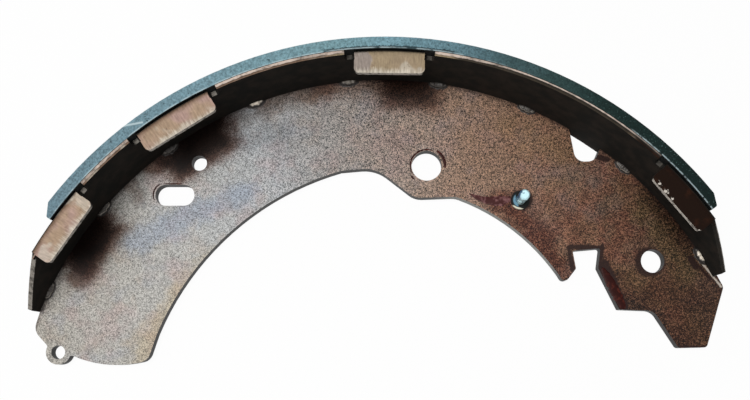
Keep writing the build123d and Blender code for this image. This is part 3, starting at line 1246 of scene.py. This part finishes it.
@dataclass(frozen=True)
class WeldFinish:
    """Weld metal under the varnish, brown black at its foot, with a painted highlight along its crest.

    The beads in the crown, between heel_beads and toe_beads, have the painted highlight on their crests. Those
    further out show it as a thin pale outline, but for the last one at the toe. Heights are from the crest.
    """

    web_front: float
    crest: float = 0.88
    crest_height: Step = (-0.12, 0.16)
    crest_wander: float = 0.5
    bright: Colour = shade(196, 186, 172)
    smoke: Colour = shade(30, 24, 21)
    ripple: Noise = Noise(2.2, 2.0)
    bare: Patches = Patches(Noise(26.0, 1.0, 6.0), (0.40, 0.56))
    bare_levels: Step = (0.22, 1.0)
    toe_beads: Step = (4.0, 8.0)
    heel_beads: Step = (-60.0, -66.0)
    last_bead: Step = (105.0, 112.0)
    line_height: Step = (-0.38, -0.30)
    line_strength: float = 0.45
    cover_height: Step = (-0.16, -0.02)
    cover_strength: float = 0.92
    roughness: Step = (0.34, 0.54)
    relief: float = 0.04
    metal: float = 0.2

    def material(self) -> bpy.types.Material:
        """Builds the beads' material.

        Returns:
            The material.
        """
        shader = Shader("weld_metal")
        ripple = shader.noise(self.ripple)
        height = shader.z - (self.web_front + self.crest)
        last = shader.x.rise(*self.last_bead)
        outlined = shader.x.rise(*self.toe_beads).most(shader.x.rise(*self.heel_beads)) * (1 - last)
        # Painted highlight: on the crest, and as a thin pale line below it on the outer beads.
        line = height.rise(*self.line_height) * outlined * self.line_strength
        share = (height + ripple.sway(self.crest_wander)).rise(*self.crest_height).most(line)
        cover = height.rise(*self.cover_height) * outlined * self.cover_strength
        bare = shader.patches(self.bare).most(last).span(*self.bare_levels)
        colour = shader.blend(share * (1 - cover) * bare, self.smoke, self.bright)
        relief = shader.bump(ripple, self.relief)
        return shader.finish(colour, ripple.span(*self.roughness), relief, Metallic=self.metal)


@dataclass(frozen=True)
class PooledVarnish:
    """Thick glossy varnish, maroon where it ran and dried."""

    name: str
    body: Colour = shade(46, 16, 13)
    thin: Colour = shade(84, 38, 30)
    thin_from: Step = (0.5, 0.7)
    depth: Noise = Noise(1.8, 3.0)
    roughness: Step = (0.3, 0.44)
    relief: float = 0.05
    gloss: float = 0.08

    def material(self) -> bpy.types.Material:
        """Builds the runs' material.

        Returns:
            The material.
        """
        shader = Shader(self.name)
        depth = shader.noise(self.depth)
        colour = shader.blend(depth.rise(*self.thin_from), self.body, self.thin)
        relief = shader.bump(depth, self.relief)
        return shader.finish(colour, depth.span(*self.roughness), relief, Specular_IOR_Level=self.gloss)


@dataclass(frozen=True)
class FloorFinish:
    """A white table top that the camera and reflections see as white, with the shoe's shadow kept."""

    glow: float = 0.95
    level: float = 0.9
    fibre: Noise = Noise(3.0, 3.0)
    roughness: Step = (0.7, 0.9)
    gloss: float = 0.1

    def material(self) -> bpy.types.Material:
        """Builds the floor's material.

        Returns:
            The material.
        """
        shader = Shader("studio_floor")
        inputs = {"Base Color": grey(self.level), "Specular IOR Level": self.gloss}
        inputs["Roughness"] = shader.noise(self.fibre).span(*self.roughness)
        top = shader.node("ShaderNodeBsdfPrincipled", {}, inputs)
        white = shader.node("ShaderNodeEmission", {}, {"Color": grey(1.0), "Strength": 1.0})
        share = shader.seen_by_eye() * self.glow
        mixed = shader.node("ShaderNodeMixShader", {}, {0: share, 1: top.outputs[0], 2: white.outputs[0]})
        shader.node("ShaderNodeOutputMaterial", {}, {"Surface": mixed.outputs[0]})
        return shader.material


# ---- meshes from arrays ----


def closed_tube(name: str, loops: np.ndarray) -> bpy.types.Object:
    """A closed surface through a row of closed loops, with the first and last loop drawn to a point.

    Point j of loop i is joined to point j + 1 of the same loop and to point j of loop i + 1. Each end loop is
    closed by triangles to its own middle.

    Args:
        name: the object's name.
        loops: stations by points by three coordinates, in millimetres.

    Returns:
        The object, at the origin.
    """
    stations, points, _ = loops.shape
    corners = np.concatenate([loops.reshape(-1, 3), loops[[0, -1]].mean(axis=1)]) * MM
    row, column = np.meshgrid(np.arange(stations - 1), np.arange(points), indexing="ij")
    after = (column + 1) % points
    first, second = row * points + column, row * points + after
    quads = np.stack([first, second, second + points, first + points], axis=-1).reshape(-1, 4)
    turn = np.arange(points)
    start, end = stations * points, stations * points + 1
    last = (stations - 1) * points
    low_cap = np.stack([np.full(points, start), (turn + 1) % points, turn], axis=-1)
    high_cap = np.stack([np.full(points, end), last + turn, last + (turn + 1) % points], axis=-1)
    mesh = bpy.data.meshes.new(name)
    mesh.from_pydata(corners.tolist(), [], quads.tolist() + low_cap.tolist() + high_cap.tolist())
    mesh.shade_smooth()
    made = bpy.data.objects.new(name, mesh)
    bpy.context.scene.collection.objects.link(made)
    return made


def joined(name: str, pieces: list[bpy.types.Object]) -> bpy.types.Object:
    """Several objects as one, with their faces pointing outwards.

    Args:
        name: the name of the result.
        pieces: the objects, which are used up.

    Returns:
        The joined object.
    """
    with bpy.context.temp_override(active_object=pieces[0], selected_editable_objects=pieces):
        bpy.ops.object.join()
    made = pieces[0]
    made.name = name
    made.data.name = name
    shape = bmesh.new()
    shape.from_mesh(made.data)
    bmesh.ops.recalc_face_normals(shape, faces=shape.faces)
    shape.to_mesh(made.data)
    shape.free()
    return made


@dataclass(frozen=True)
class Ridge:
    """A low rounded ridge on a flat face, along a path, such as a burr, a run or a smear.

    Its cross-section is the upper half of an ellipse: across is the half width times the cosine of the turn,
    and up is the height times its sine. Width and height fall towards both ends as 1 - s squared to the power
    of the fullness, where s goes from -1 to 1 along the path and the bluntness keeps the ends from closing.
    The width wanders by a sum of sines, each given by its turns and phase in radians.
    """

    path: np.ndarray
    half_width: np.ndarray
    height: float
    base: float
    wander: float = 0.12
    waves: tuple[tuple[float, float], ...] = ((17.0, 0.0), (29.0, 1.0), (43.0, 2.0))
    bluntness: float = 0.0004
    fullness: float = 0.4
    sunk: float = 0.05
    around: int = 12

    def object(self, name: str) -> bpy.types.Object:
        """Builds the ridge.

        Args:
            name: the object's name.

        Returns:
            The object, at the origin.
        """
        run = np.gradient(self.path, axis=0)
        run /= np.linalg.norm(run, axis=1, keepdims=True)
        side = np.stack([-run[:, 1], run[:, 0]], axis=1)
        place = np.linspace(-1, 1, len(self.path))
        taper = np.clip(1 - place**2, self.bluntness, 1) ** self.fullness
        ripple = 1 + self.wander * sum(np.sin(place * turns + phase) for turns, phase in self.waves)
        wide = self.half_width * taper * ripple
        turn = np.linspace(0, np.pi, self.around)
        across = np.cos(turn)[None, :] * wide[:, None]
        up = np.sin(turn)[None, :] * (self.height * taper)[:, None]
        plan = self.path[:, None, :] + side[:, None, :] * across[:, :, None]
        top = np.concatenate([plan, (self.base + up)[:, :, None]], axis=2)
        low = np.full((len(place), 2, 1), self.base - self.sunk)
        foot = np.concatenate([plan[:, [-1, 0]], low], axis=2)
        return closed_tube(name, np.concatenate([top, foot], axis=1))


def bent_path(start: Point, middle: Point, end: Point, points: int = 33) -> np.ndarray:
    """Points along a parabola in plan that is drawn towards its middle point.

    Place s is the start times (1 - s) squared, the middle times 2 s (1 - s) and the end times s squared.

    Args:
        start: the first point.
        middle: the point that draws the curve.
        end: the last point.
        points: how many points.

    Returns:
        The points, in millimetres.
    """
    share = np.linspace(0, 1, points)[:, None]
    first, second, third = (np.array(point)[None, :] for point in (start, middle, end))
    return first * (1 - share) ** 2 + second * 2 * share * (1 - share) + third * share**2


# ---- the shoe's sub-assemblies ----


def dress(node: bpy.types.Object, material: bpy.types.Material) -> None:
    """Gives every slot of a solid one material.

    Args:
        node: the solid.
        material: its material.
    """
    if not node.data.materials:
        node.data.materials.append(material)
    for slot in node.material_slots:
        slot.material = material
    log.info("dressed %s with %s", node.name, material.name)


def ride_root(piece: bpy.types.Object, material: bpy.types.Material) -> bpy.types.Object:
    """Gives a modelled piece its material and its material slot, and puts it on the shoe's body.

    Args:
        piece: the piece.
        material: its material.

    Returns:
        The piece.
    """
    piece.data.materials.append(material)
    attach(piece, "root")
    log.info("added %s with %s", piece.name, material.name)
    return piece


@dataclass(frozen=True)
class Burr:
    """A torn ridge along an arc about a hole: its radius, its ends in degrees from +X and half its width."""

    radius: float
    start: float
    end: float
    half_width: float

    def path(self, centre: Point, points: int) -> np.ndarray:
        """Points along the arc: the centre plus the radius times the cosine and the sine of the angle.

        Args:
            centre: the arc's centre.
            points: how many points.

        Returns:
            The points, in millimetres.
        """
        angle = np.radians(np.linspace(self.start, self.end, points))
        x = centre[0] + self.radius * np.cos(angle)
        return np.stack([x, centre[1] + self.radius * np.sin(angle)], axis=1)


@dataclass(frozen=True)
class Run:
    """A run of varnish: the three points of its path, its half width at places from 0 to 1 and its height."""

    name: str
    path: tuple[Point, Point, Point]
    places: tuple[float, ...]
    half_widths: tuple[float, ...]
    height: float
    wander: float


@dataclass(frozen=True)
class Web:
    """The plate: its varnish, the burrs round its holes, and the runs where its varnish pooled."""

    shoe: Shoe
    record: dict
    burr_height: float = 0.28
    burr_points: int = 25
    hold_down_burrs: tuple[Burr, ...] = (
        Burr(7.1, -8.0, 58.0, 0.6),
        Burr(6.35, 62.0, 212.0, 0.3),
        Burr(7.2, 213.0, 228.0, 0.3),
    )
    slot_burr: Burr = Burr(4.9, 118.0, 206.0, 0.28)
    slot_end: float = 3.45
    slot_side: tuple[Point, Point] = ((-4.5, 4.45), (3.0, 4.45))
    slot_side_width: float = 0.25
    smear_body: Colour = shade(68, 34, 34)
    smear_thin: Colour = shade(132, 92, 92)
    smear_thin_from: Step = (0.44, 0.64)
    flank_run: Run = Run(
        "flank_run",
        ((83.6, -79.6), (87.6, -87.2), (91.9, -95.8)),
        (0.0, 0.25, 0.8, 1.0),
        (1.4, 1.8, 2.0, 2.1),
        0.22,
        0.05,
    )
    post_smear: Run = Run(
        "post_smear",
        ((33.0, -51.0), (41.0, -55.6), (49.2, -52.6)),
        (0.0, 0.15, 0.35, 0.75, 1.0),
        (0.9, 1.1, 1.3, 2.2, 1.7),
        0.12,
        0.08,
    )

    def build(self, nodes: dict[str, bpy.types.Object]) -> None:
        """Gives the web its varnish and adds the burrs and runs.

        Args:
            nodes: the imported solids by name.
        """
        post = self.shoe.hole(self.record, "post_head")
        pivot = self.shoe.hole(self.record, "lever_pivot_hole")
        dress(nodes["web"], WebFinish(self.shoe, post, pivot).material())
        pooled = PooledVarnish("pooled_varnish").material()
        thinned = PooledVarnish("thinned_varnish", self.smear_body, self.smear_thin, self.smear_thin_from)
        ride_root(self._burrs(), pooled)
        ride_root(self._run(self.flank_run), pooled)
        ride_root(self._run(self.post_smear), thinned.material())

    def _burrs(self) -> bpy.types.Object:
        """Short torn ridges that the punch raised round the hold-down hole and the adjuster slot.

        Returns:
            All the burrs as one object.
        """
        hold_down = self.shoe.hole(self.record, "hold_down_hole")
        slot = self.shoe.hole(self.record, "adjuster_slot")
        slot_end = (slot[0] - self.slot_end, slot[1])
        strokes = [(burr.path(hold_down, self.burr_points), burr.half_width) for burr in self.hold_down_burrs]
        strokes.append((self.slot_burr.path(slot_end, self.burr_points), self.slot_burr.half_width))
        start, end = np.array(self.slot_side) + slot
        strokes.append((np.linspace(start, end, self.burr_points), self.slot_side_width))
        made = []
        for index, (path, width) in enumerate(strokes):
            ridge = Ridge(path, np.full(len(path), width), self.burr_height, self.shoe.web_front)
            made.append(ridge.object(f"burr_{index}"))
        return joined("punch_burrs", made)

    def _run(self, run: Run) -> bpy.types.Object:
        """One run of varnish as a flat ridge.

        Args:
            run: the run.

        Returns:
            Its object.
        """
        path = bent_path(*run.path)
        width = np.interp(np.linspace(0, 1, len(path)), run.places, run.half_widths)
        ridge = Ridge(path, width, run.height, self.shoe.web_front, run.wander)
        return joined(run.name, [ridge.object(run.name)])


@dataclass(frozen=True)
class Table:
    """The rolled strip with its four folded tabs."""

    shoe: Shoe

    def build(self, nodes: dict[str, bpy.types.Object]) -> None:
        """Gives the strip its varnish."""
        dress(nodes["table"], TableFinish(self.shoe).material())


@dataclass(frozen=True)
class BondedLining:
    """The friction arc and the line of adhesive under it."""

    shoe: Shoe

    def build(self, nodes: dict[str, bpy.types.Object]) -> None:
        """Gives the lining and the adhesive their materials."""
        dress(nodes["lining"], LiningFinish(self.shoe).material())
        dress(nodes["bond_film"], BondFinish().material())


@dataclass(frozen=True)
class SpringPost:
    """The zinc plated stud that holds the return spring."""

    shoe: Shoe
    record: dict

    def build(self, nodes: dict[str, bpy.types.Object]) -> None:
        """Gives the post its plating.

        Args:
            nodes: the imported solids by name.
        """
        shoe = self.shoe
        finish = ZincFinish(shoe.hole(self.record, "post_head"), shoe.web_front + shoe.post_flange)
        dress(nodes["spring_post"], finish.material())


@dataclass(frozen=True)
class WeldBeads:
    """The projection welds as rounded beads in the corner between web and table.

    A bead's section is a quarter ellipse from the web to the table: its inset is the width times the cosine
    of the turn and its height above the web is the height times the sine. Both shrink to the ends as the root
    of 1 - s squared, and ripple along the bead by a sum of sines. Each sine is given by its share, its turns
    and what a bead's number adds to its phase, so that no two beads are alike.
    """

    shoe: Shoe
    length: float = 7.2
    width: float = 1.7
    height: float = 1.25
    burn: float = 0.4
    burn_height: float = 0.10
    waves: tuple[Place, ...] = ((0.07, 9.0, 2.1), (0.04, 17.0, 1.3))
    ring_number: int = 5
    bluntness: float = 0.001
    sunk: float = 0.15
    along: int = 41
    around: int = 11

    def build(self, nodes: dict[str, bpy.types.Object]) -> None:
        """Adds the beads, each in its burnt ring, in place of the plain lumps.

        Args:
            nodes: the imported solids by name.
        """
        finish = WeldFinish(self.shoe.web_front)
        dress(nodes["weld_nibs"], finish.material())
        bead = (self.length, self.width, self.height)
        ring = (self.length + 2 * self.burn, self.width + self.burn, self.burn_height)
        made = []
        for index, bearing in enumerate(self.shoe.weld_bearings):
            made.append(self._bead(f"bead_{index}", index, bearing, bead))
            made.append(self._bead(f"ring_{index}", index + self.ring_number, bearing, ring))
        beads = ride_root(joined("weld_beads", made), finish.material())
        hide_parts("weld_nibs")

    def _bead(self, name: str, number: int, bearing: float, size: Place) -> bpy.types.Object:
        """One bead.

        Args:
            name: its name.
            number: sets the phase of its ripple.
            bearing: the bearing of its middle.
            size: its length round the table, how far in it reaches and how far it stands up.

        Returns:
            The bead.
        """
        length, width, height = size
        place = np.linspace(-1, 1, self.along)
        taper = np.sqrt(np.clip(1 - place**2, self.bluntness, 1))
        waves = [share * np.sin(place * turns + number * phase) for share, turns, phase in self.waves]
        ripple = 1 + sum(waves)
        turn = np.linspace(0, np.pi / 2, self.around)
        inset = np.cos(turn)[None, :] * (width * taper * ripple)[:, None]
        up = np.sin(turn)[None, :] * (height * taper * ripple)[:, None]
        corner = np.full((len(place), 1), -self.sunk)
        inset = np.concatenate([inset, corner, corner, inset[:, :1]], axis=1)
        up = np.concatenate([up, up[:, -1:], corner, corner], axis=1)
        radius = self.shoe.table_inner - inset
        angle = math.radians(bearing) + (place * length / 2 / self.shoe.table_inner)[:, None]
        x = radius * np.sin(angle)
        y = radius * np.cos(angle) - self.shoe.drum_radius
        return closed_tube(name, np.stack([x, y, self.shoe.web_front + up], axis=2))


@dataclass(frozen=True)
class Lamp:
    """A square soft lamp: its name, place in metres, side in metres, power in watts and colour."""

    name: str
    place: Place
    size: float
    power: float
    colour: Place


@dataclass(frozen=True)
class Studio:
    """A white table, a broad soft lamp overhead, a dim window on the heel side, and the camera above."""

    lamps: tuple[Lamp, ...] = (
        Lamp("overhead", (-0.24, -0.06, 1.05), 0.56, 10.2, (1.0, 0.985, 0.96)),
        Lamp("window", (-0.95, 0.10, 0.60), 0.7, 1.6, (0.86, 0.94, 1.0)),
    )
    aim: Place = (0.0, -0.06, 0.0)
    camera_place: Place = (0.0, -0.11746, 0.29523)
    camera_tilt: float = 3.466
    lens: float = 36.51
    shift: Point = (-0.0129, 0.16)
    near_clip: float = 0.01
    ambient: float = 0.06
    floor_half: float = 6.0

    def build(self, nodes: dict[str, bpy.types.Object]) -> None:
        """Sets up floor, world, lamps and camera round the solids.

        Args:
            nodes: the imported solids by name.
        """
        self._floor()
        self._world()
        for lamp in self.lamps:
            self._lamp(lamp)
        self._camera()
        log.info("set up the studio round %d solids", len(nodes))

    def _floor(self) -> None:
        """The table top, level with the shoe's back edge."""
        half = self.floor_half
        corners = [(-half, -half, 0), (half, -half, 0), (half, half, 0), (-half, half, 0)]
        mesh = bpy.data.meshes.new("floor")
        mesh.from_pydata(corners, [], [(0, 1, 2, 3)])
        mesh.materials.append(FloorFinish().material())
        floor = bpy.data.objects.new("floor", mesh)
        bpy.context.scene.collection.objects.link(floor)

    def _world(self) -> None:
        """A dim even light that the camera and mirrored views see as white."""
        world = bpy.data.worlds.new("studio")
        bpy.context.scene.world = world
        world.use_nodes = True
        nodes = Nodes(world.node_tree)
        strength = nodes.seen_by_eye().span(self.ambient, 1.0)
        background = nodes.node("ShaderNodeBackground", {}, {"Color": grey(1.0), "Strength": strength})
        nodes.node("ShaderNodeOutputWorld", {}, {"Surface": background.outputs[0]})

    def _lamp(self, lamp: Lamp) -> None:
        """One lamp, which looks at the shoe's middle.

        Args:
            lamp: the lamp.
        """
        light = bpy.data.lights.new(lamp.name, "AREA")
        light.size = lamp.size
        light.energy = lamp.power
        light.color = lamp.colour
        made = bpy.data.objects.new(lamp.name, light)
        made.location = lamp.place
        look = Vector(self.aim) - Vector(lamp.place)
        made.rotation_euler = look.to_track_quat("-Z", "Y").to_euler()
        bpy.context.scene.collection.objects.link(made)

    def _camera(self) -> None:
        """The camera, almost straight down."""
        camera = bpy.data.cameras.new("camera")
        camera.lens = self.lens
        camera.shift_x, camera.shift_y = self.shift
        camera.clip_start = self.near_clip
        made = bpy.data.objects.new("camera", camera)
        made.location = self.camera_place
        made.rotation_euler = (math.radians(self.camera_tilt), 0.0, 0.0)
        bpy.context.scene.collection.objects.link(made)
        bpy.context.scene.camera = made


def main() -> None:
    """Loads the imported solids, dresses them, adds the modelled pieces and sets up the studio."""
    logging.basicConfig(level=logging.INFO, format="%(name)s: %(message)s")
    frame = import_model()
    shoe, record = Shoe(), frame["record"]
    parts = (Web(shoe, record), Table(shoe), BondedLining(shoe), SpringPost(shoe, record), WeldBeads(shoe))
    for part in (*parts, Studio()):
        part.build(frame["nodes"])
    bpy.context.scene.view_settings.view_transform = "Standard"


if __name__ == "__main__":
    main()
